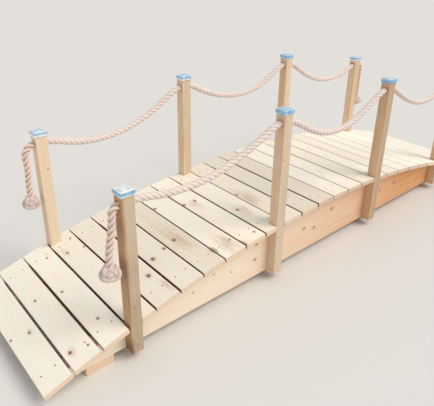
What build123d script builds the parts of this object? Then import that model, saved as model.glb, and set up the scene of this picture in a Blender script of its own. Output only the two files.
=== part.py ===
"""Arched wooden footbridge with eight capped posts and a rope handrail on each side.

Millimetres. The origin is the middle of the bridge on the ground, X runs along the
bridge, -Y is the near side and +Z is up.
"""

import os
from math import copysign, cos, pi, radians, sin, sqrt, tan

from build123d import *

# Deck boards, laid across the bridge on a circular arc
board_count = 26
board_width = 145
board_gap = 5
board_thickness = 28
board_length = 915
board_arris = 3

# Arch: the deck's top surface, above the underside of the beams
deck_rise = 350
deck_end_height = 42
seat_gap = 0.1  # between the boards and the beams

# Beams: straight underside, arched top, thin noses
beam_width = 70
beam_setback = 17  # from the end of the deck to the beam's nose
beam_arris = 3

# Bearers that lie on the ground under the beams' ends
bearer_width = 145
bearer_height = 45
bearer_setback = 210  # from the beam's nose to the bearer
bearer_arris = 3

# Posts, outside the beams and flush with the ends of the boards
post_side = 63
post_arris = 3
end_post_height = 863
inner_post_height = 1003
post_clearance = 1  # between a post and the board notched round it
notch_overrun = 10  # past the board's edge, so that the notch opens into the gap

# Sheet metal caps
cap_wall = 2
cap_play = 2
cap_rim = 25
cap_peak = 7
cap_peak_side = 4
cap_arris = 2

# Rope handrail
rope_diameter = 38
rope_play = 0.8
end_hole_drop = 66  # from the top of the post to the centre of the rope's hole
inner_hole_drop = 71
knot_width = 98
knot_height = 76

# Worked out from the sizes above. The arch's radius is the one on which half the
# deck's length, measured along the arc, rises from its end height to its crown.
board_pitch = board_width + board_gap
half_length = board_count * board_pitch / 2
mean_slope = (deck_rise - deck_end_height) / half_length
half_angle = 2 * mean_slope + (2 * mean_slope) ** 3 / 12
deck_radius = half_length / half_angle
board_angle = board_pitch / deck_radius
beam_bottom = bearer_height
deck_centre_z = beam_bottom + deck_rise - deck_radius
beam_top_radius = deck_radius - board_thickness - seat_gap
beam_half = deck_radius * sin(half_angle) - beam_setback
bearer_centre = beam_half - bearer_setback - bearer_width / 2
outer_face = board_length / 2
post_row = outer_face - post_side / 2
beam_row = outer_face - post_side - beam_width / 2
sides = {"near": -1, "far": 1}


def gap_x(boards_before, radius):
    """X of the middle of the gap after that many boards, counted from the left end."""
    return radius * sin((boards_before - board_count / 2) * board_angle)


# Each post lines up with a gap, so that only one board is notched round it. The left
# end post is plumb beside the lower corner of its sloping board.
posts = {
    "left_end": (gap_x(3, beam_top_radius) + post_side / 2, end_post_height, end_hole_drop),
    "left_inner": (gap_x(10, deck_radius) - post_side / 2, inner_post_height, inner_hole_drop),
    "right_inner": (gap_x(16, deck_radius) + post_side / 2, inner_post_height, inner_hole_drop),
    "right_end": (gap_x(22, deck_radius) + post_side / 2, end_post_height, end_hole_drop),
}

# Rope routes in the plane of each row of posts, from the left knot to the right one:
# X from the middle of the bridge, height above the underside of the beams. Each end
# that hangs down and each span between two posts starts on a new line.
rope_routes = {
    "near": [
        (-1541, 523), (-1541, 564), (-1531, 628), (-1517, 702), (-1516, 797),
        (-1376, 797), (-1240, 767), (-1080, 759), (-920, 779), (-750, 834), (-615, 892), (-547, 932),
        (-416, 932), (-350, 888), (-210, 812), (-65, 774), (80, 777), (218, 824), (352, 893), (416, 932),
        (547, 932), (612, 888), (745, 815), (890, 763), (1040, 755), (1180, 772), (1300, 797),
        (1428, 797), (1463, 754), (1459, 701), (1463, 650), (1460, 597), (1456, 545), (1456, 506),
    ],
    "far": [
        (-1539, 506), (-1539, 545), (-1537, 597), (-1531, 650), (-1532, 700), (-1540, 752), (-1502, 797),
        (-1376, 797), (-1296, 764), (-1180, 736), (-1045, 733), (-900, 754), (-745, 808), (-613, 885),
        (-547, 932),
        (-416, 932), (-350, 889), (-215, 829), (-65, 796), (85, 792), (220, 822), (350, 889), (416, 932),
        (547, 932), (616, 882), (740, 806), (880, 751), (1010, 732), (1125, 736), (1222, 755),
        (1300, 797),
        (1428, 797), (1464, 753), (1458, 700), (1455, 648), (1458, 595), (1457, 543), (1457, 505),
    ],
}
bend_share = 0.45  # of the shorter run beside a bend, taken up by its arc


def write(name, part):
    """Label the finished piece and write its file."""
    part.label = name
    export_step(part, f"parts/{name}.step")


def make_beam(side):
    """One beam: a level underside and an arched top, cut plumb at both noses."""
    end_height = sqrt(beam_top_radius**2 - beam_half**2) + deck_centre_z
    crown_height = beam_top_radius + deck_centre_z
    underside = [(-beam_half, beam_bottom), (beam_half, beam_bottom)]
    with BuildPart() as beam:
        with BuildSketch(Plane.XZ.offset(-side * beam_row)):
            with BuildLine():
                Polyline((-beam_half, end_height), *underside, (beam_half, end_height))
                ThreePointArc((beam_half, end_height), (0, crown_height), (-beam_half, end_height))
            make_face()
        extrude(amount=beam_width / 2, both=True)
        lower_edges = beam.edges().filter_by(Axis.X).group_by(Axis.Z)[0]
        fillet(lower_edges, beam_arris)
    return beam.part


def make_bearer(side):
    """One bearer, lying flat across the ground under both beams."""
    length = 2 * beam_row + beam_width
    with BuildPart() as bearer:
        with Locations((side * bearer_centre, 0, bearer_height / 2)):
            Box(bearer_width, length, bearer_height)
        fillet(bearer.edges().filter_by(Axis.Y), bearer_arris)
    return bearer.part


def make_board(number):
    """One deck board, tangent to the arch, notched round the posts that pass through it."""
    angle = (number - (board_count + 1) / 2) * board_angle
    upper_face = Plane(
        origin=(deck_radius * sin(angle), 0, deck_centre_z + deck_radius * cos(angle)),
        x_dir=(cos(angle), 0, -sin(angle)),
        z_dir=(0, -1, 0),
    )
    with BuildPart() as board:
        with BuildSketch(upper_face):
            Rectangle(board_width, board_thickness, align=(Align.CENTER, Align.MAX))
        extrude(amount=board_length / 2, both=True)
        outward = Axis((0, 0, 0), (sin(angle), 0, cos(angle)))
        fillet(board.edges().filter_by(Axis.Y).group_by(outward)[-1], board_arris)
        notch_x = post_side + 2 * post_clearance + notch_overrun
        notch_y = post_side + post_clearance
        for x, _, _ in posts.values():
            offset = x - upper_face.origin.X
            if abs(offset) < (board_width + post_side) / 2:
                notch_centre = x + copysign(notch_overrun / 2, offset)
                for side in sides.values():
                    with Locations((notch_centre, side * (outer_face - notch_y / 2), upper_face.origin.Z)):
                        Box(notch_x, notch_y, 4 * board_thickness, mode=Mode.SUBTRACT)
    return board.part


def make_post(x, height, hole_drop, side):
    """One square post, bored along the bridge for the rope."""
    with BuildPart() as post:
        with Locations((x, side * post_row, beam_bottom)):
            Box(post_side, post_side, height, align=(Align.CENTER, Align.CENTER, Align.MIN))
        fillet(post.edges().filter_by(Axis.Z), post_arris)
        bore = Plane(
            origin=(x, side * post_row, beam_bottom + height - hole_drop),
            z_dir=(1, 0, 0),
        )
        with Locations(bore):
            Hole(rope_diameter / 2 + rope_play)
    return post.part


def make_caps(side):
    """The four caps of one side: a folded rim under a shallow four-sided top."""
    inner = post_side + 2 * cap_play
    outer = inner + 2 * cap_wall
    with BuildPart() as caps:
        for x, height, _ in posts.values():
            seat = Plane((x, side * post_row, beam_bottom + height))
            with BuildSketch(seat.offset(cap_wall)):
                RectangleRounded(outer, outer, cap_arris)
            extrude(amount=-cap_rim)
            with BuildSketch(seat.offset(cap_wall)):
                Rectangle(outer - cap_wall, outer - cap_wall)
            with BuildSketch(seat.offset(cap_wall + cap_peak)):
                Rectangle(cap_peak_side, cap_peak_side)
            loft()
            with BuildSketch(seat):
                Rectangle(inner, inner)
            extrude(amount=-cap_rim, mode=Mode.SUBTRACT)
    return caps.part


def bend_radii(points):
    """The radius of the arc at each inner point of a route."""
    radii = []
    for before, corner, after in zip(points, points[1:], points[2:]):
        run_in = Vector(*corner) - Vector(*before)
        run_out = Vector(*after) - Vector(*corner)
        turn = radians(run_in.get_angle(run_out))
        shorter = min(run_in.length, run_out.length)
        radii.append(bend_share * shorter / tan(turn / 2))
    return radii


def make_rope(name, side):
    """One rope, threaded through four posts and hanging between them."""
    y = side * post_row
    route = [(x, y, beam_bottom + height) for x, height in rope_routes[name]]
    radii = bend_radii(route)
    with BuildPart() as rope:
        with BuildLine() as path:
            FilletPolyline(*route, radius=radii)
        rail = path.wire()
        with BuildSketch(Plane(origin=rail @ 0, z_dir=rail % 0)):
            Circle(rope_diameter / 2)
        sweep()
    expected = rail.length * pi * rope_diameter**2 / 4
    print(f"rope {name}: length {rail.length:.0f}, volume ratio {rope.part.volume / expected:.4f}")
    print("  radii", " ".join(f"{radius:.0f}" for radius in radii))
    return rope.part


def make_knot(end, name, side):
    """One stopper knot, a ball a little wider than it is tall on the rope's end."""
    x, top = rope_routes[name][0 if end == "left" else -1]
    round_radius = knot_height / 2
    flat_radius = knot_width / 2 - round_radius
    centre = Location((x, side * post_row, beam_bottom + top - round_radius))
    with BuildPart() as knot:
        with BuildSketch(Plane.XZ):
            with BuildLine():
                Line((0, -round_radius), (flat_radius, -round_radius))
                ThreePointArc(
                    (flat_radius, -round_radius),
                    (knot_width / 2, 0),
                    (flat_radius, round_radius),
                )
                Line((flat_radius, round_radius), (0, round_radius))
                Line((0, round_radius), (0, -round_radius))
            make_face()
        revolve(axis=Axis.Z)
    return knot.part.moved(centre)


os.makedirs("parts", exist_ok=True)
for side_name, side_sign in sides.items():
    write(f"beam_{side_name}", make_beam(side_sign))
    write(f"post_caps_{side_name}", make_caps(side_sign))
    write(f"rope_{side_name}", make_rope(side_name, side_sign))
    for post_name, (post_x, post_height, hole_drop) in posts.items():
        write(f"post_{side_name}_{post_name}", make_post(post_x, post_height, hole_drop, side_sign))
for end_name, end_sign in {"left": -1, "right": 1}.items():
    write(f"bearer_{end_name}", make_bearer(end_sign))
    for side_name, side_sign in sides.items():
        write(f"knot_{side_name}_{end_name}", make_knot(end_name, side_name, side_sign))
for board_number in range(1, board_count + 1):
    write(f"deck_board_{board_number:02d}", make_board(board_number))
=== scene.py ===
"""Looks of an arched wooden footbridge with capped posts and rope handrails.

The file is laid out as a Blender add-on and also runs as a script. Sizes are in metres, in
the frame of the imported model: X runs along the bridge, -Y is the near side, +Z is up.
"""

from functools import partial
from math import copysign, cos, pi, radians, sin, tan

import bmesh
import bpy
import numpy as np
from bpy.props import FloatProperty, FloatVectorProperty, PointerProperty
from mathutils import Matrix, Vector


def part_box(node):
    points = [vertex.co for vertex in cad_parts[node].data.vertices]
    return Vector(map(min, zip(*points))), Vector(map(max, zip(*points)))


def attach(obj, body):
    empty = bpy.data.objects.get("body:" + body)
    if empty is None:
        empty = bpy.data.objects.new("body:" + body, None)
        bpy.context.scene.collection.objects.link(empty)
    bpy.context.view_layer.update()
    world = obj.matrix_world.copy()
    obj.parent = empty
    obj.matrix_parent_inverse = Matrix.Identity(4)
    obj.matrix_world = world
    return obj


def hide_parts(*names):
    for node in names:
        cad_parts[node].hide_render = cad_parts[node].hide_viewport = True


bl_info = {
    "name": "Rope rail footbridge",
    "version": (1, 0, 0),
    "blender": (4, 5, 0),
    "location": "3D View > Sidebar > Footbridge",
    "description": "Timber, rope, cap and screw detail for an arched wooden footbridge",
    "category": "Object",
}

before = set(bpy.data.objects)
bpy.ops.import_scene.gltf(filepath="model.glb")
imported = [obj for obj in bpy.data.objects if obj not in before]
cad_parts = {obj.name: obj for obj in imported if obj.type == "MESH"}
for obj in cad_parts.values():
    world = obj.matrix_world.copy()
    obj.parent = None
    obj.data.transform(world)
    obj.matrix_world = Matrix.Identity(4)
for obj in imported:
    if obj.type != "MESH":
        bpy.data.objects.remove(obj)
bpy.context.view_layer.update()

# Seeds of the random draws
DECK_SEED = 700
SCREW_SEED = 900
POST_SEED = 40

# Deck boards on their arc
BOARD_COUNT = 26
BOARD_WIDTH = 0.145
BOARD_PITCH = 0.150
BOARD_THICKNESS = 0.028
BOARD_LENGTH = 0.915
BOARD_CROWN = 0.0005  # how much lower a board's top is along its edges
DECK_RISE = 0.350
DECK_END_HEIGHT = 0.042
SEAT_GAP = 0.0001

# Beams, bearers and posts
BEAM_BOTTOM = 0.045
BEAM_WIDTH = 0.070
BEAM_SETBACK = 0.017
BEAM_ROW = 0.3595
BEARER_WIDTH = 0.145
BEARER_HEIGHT = 0.045
POST_SIDE = 0.063
POST_ROW = 0.426
POST_CLEARANCE = 0.001
BORE_RADIUS = 0.0198
BORE_DROPS = {"end": 0.066, "inner": 0.071}  # from the top of a post to its bore

# Edges: planed arrises, the finer ones of boards' undersides and beams' tops, and how far
# sawn ends and the bores' mouths are eased
ARRIS = 0.003
BOARD_LOW_ARRIS = 0.001
BEAM_TOP_ARRIS = 0.0015
EASE = 0.0008
BEAM_EASE = 0.001
BORE_EASE = 0.001

HALF_LENGTH = BOARD_COUNT * BOARD_PITCH / 2
MEAN_SLOPE = (DECK_RISE - DECK_END_HEIGHT) / HALF_LENGTH
HALF_ANGLE = 2 * MEAN_SLOPE + (2 * MEAN_SLOPE) ** 3 / 12
DECK_RADIUS = HALF_LENGTH / HALF_ANGLE
BOARD_ANGLE = BOARD_PITCH / DECK_RADIUS
DECK_CENTRE_Z = BEAM_BOTTOM + DECK_RISE - DECK_RADIUS
BEAM_TOP_RADIUS = DECK_RADIUS - BOARD_THICKNESS - SEAT_GAP
BEAM_HALF = DECK_RADIUS * sin(HALF_ANGLE) - BEAM_SETBACK

SIDES = {"near": -1, "far": 1}
POST_NAMES = ("left_end", "left_inner", "right_inner", "right_end")

# The stretches of each rope: their length in metres, and the control points of their line
# in the plane of the posts, X and height above the underside of the beams in millimetres
ROPES = {
    "near": {
        "left_tail": (0.35, [
            (-1449, 797), (-1490, 797), (-1510, 776), (-1512, 727), (-1521, 670), (-1533, 614),
            (-1541, 556), (-1541, 498),
        ]),
        "left_span": (0.99, [
            (-1444, 797), (-1392, 797), (-1330, 788), (-1240, 767), (-1080, 759), (-920, 779),
            (-750, 834), (-615, 892), (-545, 930), (-484, 932),
        ]),
        "middle_span": (1.02, [
            (-478, 932), (-432, 932), (-350, 890), (-210, 812), (-65, 774), (80, 777),
            (218, 824), (352, 893), (425, 932), (478, 932),
        ]),
        "right_span": (0.92, [
            (484, 932), (545, 930), (612, 888), (745, 815), (890, 763), (1040, 755),
            (1180, 772), (1300, 797), (1368, 797),
        ]),
        "right_tail": (0.38, [
            (1373, 797), (1420, 797), (1452, 786), (1462, 740), (1459, 701), (1463, 650),
            (1460, 597), (1456, 541), (1456, 482),
        ]),
    },
    "far": {
        "left_tail": (0.38, [
            (-1449, 797), (-1484, 797), (-1514, 786), (-1536, 752), (-1532, 700), (-1531, 650),
            (-1537, 597), (-1539, 541), (-1539, 482),
        ]),
        "left_span": (1.01, [
            (-1444, 797), (-1392, 797), (-1296, 764), (-1180, 736), (-1045, 733), (-900, 754),
            (-745, 808), (-613, 885), (-545, 930), (-484, 932),
        ]),
        "middle_span": (1.01, [
            (-478, 932), (-420, 932), (-350, 889), (-215, 829), (-65, 796), (85, 792),
            (220, 822), (350, 889), (420, 932), (478, 932),
        ]),
        "right_span": (0.94, [
            (484, 932), (545, 930), (616, 882), (740, 806), (880, 751), (1010, 732),
            (1125, 736), (1222, 755), (1300, 790), (1368, 797),
        ]),
        "right_tail": (0.38, [
            (1373, 797), (1420, 797), (1452, 786), (1462, 740), (1458, 700), (1455, 648),
            (1458, 595), (1457, 541), (1457, 482),
        ]),
    },
}
STRETCH_TURN = 0.7  # radians, from the lay of one stretch to that of the next
TAIL_RELIEF = 0.47  # how deep the grooves between the strands are cut
SPAN_RELIEF = 0.34
KNOT_RELIEF = 0.45
TAIL_LIGHT_LEVEL = 1.1  # level of the hanging ends and the knots on the rope's scale of painted light, and how handled the knots are
KNOT_LIGHT_LEVEL = -0.5
KNOT_HANDLED = 0.7
SWELL = 0.018  # how much a strand swells and shrinks along its line, as a share
SWELL_RATE = 61.0  # radians per metre
SWELL_STARTS = (0.0, 2.1, 4.0)  # where in that wave each strand starts
KNOT_TUBE = 0.60  # radius of the rope in a knot, as a share of its diameter
KNOT_THICKNESS = 0.38  # how far the line winds about its ring, as a share of its reach
KNOT_WIDENING = 1.12  # how much the ring is stretched sideways and squeezed upright
KNOT_LOWERING = 0.84
KNOT_AXES = {  # which way the axis of each stopper knot points
    "knot_near_left": (-0.37, -0.72, 0.58), "knot_near_right": (0.55, -0.70, 0.45),
    "knot_far_left": (-0.30, -0.84, 0.45), "knot_far_right": (0.50, 0.75, 0.42),
}

# Knots in the wood: metres along the piece, across it, and their radius. Boards without
# known ones get up to two, each between two limits, and their pith and figure likewise.
BOARD_KNOTS = {
    1: [(-0.0855, 0.027, 0.006), (-0.0515, -0.057, 0.005)],
    2: [(0.0805, -0.015, 0.006), (-0.3815, 0.043, 0.005), (-0.352, -0.036, 0.008)],
    3: [(0.0175, -0.039, 0.006), (-0.2855, 0.001, 0.006), (0.3265, 0.021, 0.005)],
    4: [(0.2665, -0.029, 0.006), (0.2335, 0.061, 0.005), (0.3715, 0.043, 0.005)],
    5: [(-0.2495, 0.027, 0.011)],
    6: [(-0.1635, -0.035, 0.011), (-0.1415, 0.055, 0.008)],
    7: [(-0.1255, -0.014, 0.010)],
    8: [(0.2065, -0.061, 0.008), (-0.35, 0.05, 0.005)],
    9: [(0.1045, -0.063, 0.008), (0.0925, 0.011, 0.008), (-0.3995, 0.039, 0.006)],
    10: [(-0.1715, -0.025, 0.008)],
    11: [(-0.0425, -0.061, 0.007)],
}
BEAM_KNOTS = {
    "near": [
        (-0.605, 0.263, 0.007), (-0.611, 0.163, 0.008), (-1.065, 0.160, 0.004),
        (-0.921, 0.206, 0.004), (-0.795, 0.162, 0.004), (-0.184, 0.202, 0.008),
        (-0.084, 0.170, 0.008), (0.084, 0.248, 0.009), (0.840, 0.198, 0.011),
        (0.658, 0.190, 0.008),
    ],
    "far": [(-0.95, 0.12, 0.010), (-0.30, 0.22, 0.012), (0.35, 0.13, 0.011), (0.88, 0.17, 0.009)],
}
KNOT_LIMITS = ((-0.42, -0.06, 0.002), (0.42, 0.06, 0.005))
PITH_LIMITS = ((-40, -0.05, 0.05), (40, 0.05, 0.13))
FIGURE_LIMITS = ((-0.40, -0.05, 0.008), (0.40, 0.05, 0.020))
POST_KNOT_LIMITS = ((0.1, -0.02), (0.8, 0.02))
POST_KNOT_RADIUS = 0.003
POST_PITH_LIMITS = ((-30, -0.05, 0.02), (30, 0.05, 0.06))
NO_KNOT = (9.0, 9.0, 0.001)  # far off any piece

# Where boards and posts are stained: along, across and through the piece
NOWHERE = (9.0, 9.0, 9.0)
BOARD_STAINS = {7: (-0.352, 0.070, 0.0), 8: (-0.357, -0.066, 0.0), 9: (-0.437, -0.070, 0.0)}
POST_STAINS = {"near_left_end": (0.33, -0.031, -0.0305)}

# Where the grain swirls darker in a board: along and across it, and how far it reaches
NO_FIGURE = (9.0, 9.0, 0.01)
BOARD_FIGURES = {
    1: (-0.075, 0.032, 0.018), 2: (-0.352, -0.030, 0.030), 3: (-0.2855, 0.005, 0.012),
    4: (0.265, -0.030, 0.030), 5: (-0.36, 0.055, 0.045), 7: (-0.11, 0.006, 0.085),
    8: (-0.365, 0.015, 0.085), 9: (0.06, -0.02, 0.050), 10: (-0.18, -0.010, 0.050),
    11: (-0.12, -0.03, 0.075),
}

# How far the boards' edges have shrunk back on each side of the gaps, by gap number. The
# far ends have shrunk by up to FAR_TRIM less.
EDGE_TRIMS = {
    1: 0.0032, 2: 0.0038, 3: 0.0028, 4: 0.0022, 5: 0.0030, 6: 0.0014, 7: 0.0008, 8: 0.0014,
    9: 0.0018, 10: 0.0002, 11: 0.0024, 12: 0.0030, 13: 0.0, 15: 0.0020, 16: 0.0010, 17: 0.0010,
}
OTHER_TRIM = 0.0004
FAR_TRIM = 0.0035
PLAIN_REACH = 0.30  # from the middle of a board, the stretch with evenly spaced sections
SAW_STRAY = 0.0012  # how much shorter the saw has left either half of a board, at most
GAP_SHADE = (0.0017, 0.0275)  # from where to where below its top a board's edge is painted with shade

# Shade and warmth of each deck board from the left end, and of the posts from the left, first of
# their fronts and then of their left faces, where they are painted light and shade: the shade on
# those faces and the warm light bounced onto them
# The boards' shades are partly their own and partly painted light: the right-hand boards are given
# more tone where the sun makes them brighter
BOARD_SHADES = (
    (0.5, -0.1), (0.5, -0.1), (0.7, 0.0), (0.3, 0.0), (0.0, 0.1), (-0.1, 0.1), (-0.2, 0.4),
    (0.5, 0.0), (0.7, 0.1), (0.2, 0.0), (-0.2, 0.1), (-0.7, 0.2), (-0.7, 0.3), (0.2, -0.1),
    (0.5, 0.0), (0.3, 0.1), (0.3, -0.1), (0.3, 0.1), (0.5, -0.1), (0.7, -0.2), (0.9, -0.2),
    (1.4, -0.2), (0.7, -0.3), (0.4, -0.2), (0.3, -0.2), (0.5, -0.2),
)
POST_SHADES = {
    "near": (
        (-0.9, 0.3, -1.0, 1.3), (0.0, -0.2, 0.9, 0.5), (-0.8, 0.7, 0.8, 1.0), (-0.5, 0.4, 0.4, 0.8),
    ),
    "far": (
        (1.2, -0.3, 1.8, 0.2), (0.2, 0.1, 1.5, 0.4), (1.0, 0.1, 1.2, 0.7), (0.5, 0.4, 1.9, 0.6),
    ),
}

# How the tone of a post's front and left faces changes with the height above its foot, partly
# painted light and shade such as the rope tail's shadow on the near left end post's left face, and
# the warmth of the beams with X
POST_TONE_RISE = {
    "near_left_end": (
        ((0.0, 0.28, 0.35, 0.48, 0.58, 0.80), (-0.6, -0.6, 0.1, -0.2, 0.4, 0.8)),
        ((0.05, 0.09, 0.18, 0.33, 0.40, 0.45, 0.52, 0.57, 0.62, 0.69, 0.76),
         (-2.4, 0.6, 1.0, 0.8, 0.0, -1.5, -1.0, 1.1, 0.6, -0.5, 1.0)),
    ),
    "near_left_inner": (
        ((0.0, 0.30, 0.45, 0.60, 0.90), (0.0, -0.1, -0.4, -0.2, 0.3)),
        ((0.0, 0.22, 0.30, 0.70, 0.90), (0.0, -0.2, 0.6, 0.4, 0.0)),
    ),
    "near_right_inner": (
        ((0.0, 0.24, 0.45, 0.60, 0.90), (-0.3, -0.3, -0.2, 0.1, 0.2)),
        ((0.0, 0.22, 0.30, 0.70, 0.90), (-0.1, 0.0, 0.3, 0.0, -0.4)),
    ),
    "far_left_end": (
        ((0.0, 0.86), (0.0, 0.0)),
        ((0.0, 0.35, 0.70, 0.86), (-0.6, -0.6, 0.8, 0.8)),
    ),
}
FACE_DEPTH = 0.004  # how far in from its left face a post has that face's painted light and shade
BEAM_WARMTH = (
    (-1.9, -0.85, -0.35, 0.15, 0.65, 0.95, 1.9), (-0.2, -0.1, 0.5, 0.85, 1.3, 1.6, 1.6),
)

# Darkness of the boards' sawn ends, and the boards whose ends lie in shade
END_SHADE = 0.06
DEEP_END_SHADE = 0.22
SHADED_BOARDS = range(13, 22)

# Half width and level of the caps' sheet, above the post's top: under the top, down inside
# the rim, over its lip and up outside; then, past the fold, up the slopes to the peak
CAP_RIM = (
    (0.0006, 0.0004), (0.0300, 0.0002), (0.0335, -0.0006), (0.0335, -0.0224), (0.0338, -0.0228),
    (0.0342, -0.0230), (0.0350, -0.0230), (0.0355, -0.0224), (0.0355, -0.0180),
    (0.0355, -0.0135), (0.0355, -0.0090), (0.0355, -0.0045), (0.0355, 0.0000),
)
CAP_FOLD = (0.0335, 0.0002, 0.002, 72)  # its centre, its radius and its turn in degrees
CAP_SLOPE = (
    (0.0260, 0.0042), (0.0180, 0.0061), (0.0100, 0.0077), (0.0028, 0.0088), (0.0018, 0.0091),
    (0.0003, 0.0092),
)
CAP_CORNER = 0.0022  # radius of the corners, and its limit as a share of the half width
CAP_CORNER_SHARE = 0.6
CAP_RIM_TOP = 0.0015  # the rim's colour starts below here and is full after the blend
CAP_RIM_BLEND = 0.002
CAP_LIP_BLEND = 0.005

# How much painted highlight, the sky's reflection, whitens the top of each cap, and the level below
# which its rim's lip is white
CAP_HIGHLIGHTS_AND_LIPS = {
    "near": ((1.0, -0.015), (0.0, -0.018), (0.35, -0.022), (0.2, -0.015)),
    "far": ((0.4, -0.007), (0.05, -0.010), (0.0, -0.018), (0.35, -0.010)),
}

# Screws: radius, level and six-lobed wave of the rings of a head, from the middle of the
# recess to the rim; in the boards, how far from the middle of each they stand along the
# bridge and across it, and how far they stray; through the posts, their offset from the
# post's middle and their height above the ground
SCREW_RINGS = (
    (0.0002, -0.0012, 0.0), (0.0011, -0.0012, 0.16), (0.0012, 0.0003, 0.16),
    (0.0030, 0.0003, 0.0), (0.0042, 0.0000, 0.0), (0.0044, -0.0009, 0.0),
)
SCREW_SPACING = 0.037
SCREW_ROW = 0.358
SCREW_STRAY = 0.004
POST_SCREWS = {"end": (-0.001, 0.091), "inner": (-0.017, 0.294)}

# Stage: reach of the floor, colours of the light, the lamp's place, aim and angle, and the
# photograph's eye
FLOOR_REACH = 40.0
FLOOR_CORNERS = ((-1, -1), (1, -1), (1, 1), (-1, 1))
SKY_COLOUR = "#F4F6FA"
LAMP_COLOUR = "#FFF9F0"
LAMP_PLACE = (1.5, -2.5, 4.0)
LAMP_AIM = (-0.35, 0.55, -0.80)
LAMP_ANGLE = 36
EYE = (-2.3586, -2.0426, 1.8544)
EYE_YAW = 49.39
EYE_PITCH = -25.15
EYE_ROLL = 0.56
FOCAL_PIXELS = 501.66
AXIS_PIXEL = (211.57, 169.27)
IMAGE_SIZE = (434, 406)
SENSOR_WIDTH = 36.0


# Settings


def linear(hex_colour):
    """The linear colour of an sRGB hex colour."""
    values = [int(hex_colour[i : i + 2], 16) / 255 for i in (1, 3, 5)]
    return [v / 12.92 if v <= 0.04045 else ((v + 0.055) / 1.055) ** 2.4 for v in values]


def colour_setting(name, description, hex_colour):
    """A colour for the panel."""
    return FloatVectorProperty(
        name=name, description=description, default=linear(hex_colour), subtype="COLOR",
        min=0, max=1,
    )


def length_setting(name, description, default, low, high):
    """A length for the panel, in metres."""
    return FloatProperty(
        name=name, description=description, default=default, min=low, max=high,
        subtype="DISTANCE", unit="LENGTH",
    )


class FootbridgeTimber(bpy.types.PropertyGroup):
    """Colours and grain of the boards, beams, bearers and posts."""

    board_colour: colour_setting("Board", "Pale early wood of the deck boards", "#F8F1E3")
    board_late_colour: colour_setting(
        "Board rings", "Darker late wood of the deck boards", "#E6CDA9"
    )
    beam_colour: colour_setting("Beam", "Pale early wood of the beams and bearers", "#FCEBD6")
    beam_late_colour: colour_setting(
        "Beam rings", "Darker late wood of the beams and bearers", "#DA944F"
    )
    post_colour: colour_setting("Post", "Pale early wood of the posts", "#DBC8AF")
    post_late_colour: colour_setting("Post rings", "Darker late wood of the posts", "#C08A54")
    end_colour: colour_setting("End grain", "Sawn ends of the boards and beams", "#F4D7BA")
    knot_colour: colour_setting("Knot", "Rim of the knots in the boards and posts", "#7C6859")
    beam_knot_colour: colour_setting(
        "Beam knot", "Rim of the knots in the beams and bearers", "#A97A54"
    )
    stain_colour: colour_setting(
        "Stain", "Resin and rust stains on the boards and posts", "#9A6B50"
    )
    figure_colour: colour_setting(
        "Figure", "Where the grain swirls darker beside a knot", "#C8977A"
    )
    # Painted shade: this dark colour on the boards' edges down in the gaps stands for the shade
    # there
    gap_shade_colour: colour_setting(
        "Gap", "Dirt on the edges of the boards, down in the gaps", "#844933"
    )
    ring_width: length_setting("Ring width", "Width of one year's growth", 0.0042, 0.001, 0.02)


class FootbridgeRope(bpy.types.PropertyGroup):
    """The rope handrails."""

    diameter: length_setting("Diameter", "Over the three strands", 0.038, 0.01, 0.06)
    lay: length_setting(
        "Lay", "Length in which a strand goes once round the rope", 0.094, 0.03, 0.3
    )
    step: length_setting("Step", "Spacing of the rings of the rope's surface", 0.0036, 0.002, 0.01)
    colour: colour_setting("Rope", "The crests of the strands", "#EDDED5")
    # The groove colours are painted shade between the strands, of the spans and of the hanging ends
    # and knots
    groove_shade_colour: colour_setting("Grooves", "Between the strands", "#D6BFB0")
    handled_colour: colour_setting(
        "Handled rope", "The crests of the hanging ends and the knots", "#EBD7CB"
    )
    handled_groove_shade_colour: colour_setting(
        "Handled grooves", "Between the strands of the hanging ends and the knots", "#C9A794"
    )


class FootbridgeMetal(bpy.types.PropertyGroup):
    """The caps and the screws."""

    cap_colour: colour_setting("Cap", "Slopes of the galvanised post caps", "#BFDFF1")
    # This white is painted highlight on the caps' tops, the sky's reflection, and the colour of the
    # rims' whiter lower edges
    cap_white_colour: colour_setting("Cap bloom", "Bleached parts of the post caps", "#FCFEFA")
    cap_rim_colour: colour_setting("Cap rim", "Folded rim of the post caps", "#7AB6E0")
    screw_colour: colour_setting("Screw", "Heads of the deck screws", "#8A857A")


class FootbridgeStage(bpy.types.PropertyGroup):
    """The floor and the lamps."""

    floor_colour: colour_setting("Floor", "Plain floor under the bridge", "#E2E0DC")
    key_strength: FloatProperty(
        name="Key lamp", description="Strength of the wide soft lamp overhead",
        default=1.7, min=0, max=20,
    )
    sky_strength: FloatProperty(
        name="Sky", description="Strength of the even light from all round",
        default=0.66, min=0, max=2,
    )


# Materials

# The marks in each finish: their size in metres along the grain or the lay, across it and
# through it, their levels of detail and their roughness. The real fibres of the wood and of
# the yarns are finer than the render shows, so both are drawn about ten times as coarse.
RING_SWAY = ((0.77, 0.14, 0.14), 2.0, 0.5)
FIBRES = ((0.110, 0.0016, 0.0016), 4.0, 0.65)
STREAKS = ((0.62, 0.022, 0.022), 2.0, 0.5)
PATCHES = ((0.150, 0.038, 0.038), 3.0, 0.5)
CHECKS = ((0.31, 0.0083, 0.0083), 1.0, 0.5)
CHECKED_AREAS = ((0.45, 0.071, 0.071), 1.0, 0.5)
KNOT_EDGES = ((0.006, 0.006, 0.006), 2.0, 0.5)
YARNS = ((0.0019, 0.0019, 0.038), 3.0, 0.6)
YARN_FIBRES = ((0.0007, 0.0007, 0.006), 2.0, 0.6)
ROPE_PATCHES = ((0.070, 0.070, 0.070), 3.0, 0.5)
ROPE_SPECKS = ((0.011, 0.011, 0.011), 3.0, 0.6)
BLOOM = ((0.024, 0.024, 0.024), 4.0, 0.6)
SCUFFS = ((0.017, 0.0011, 0.0033), 2.0, 0.5)
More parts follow.
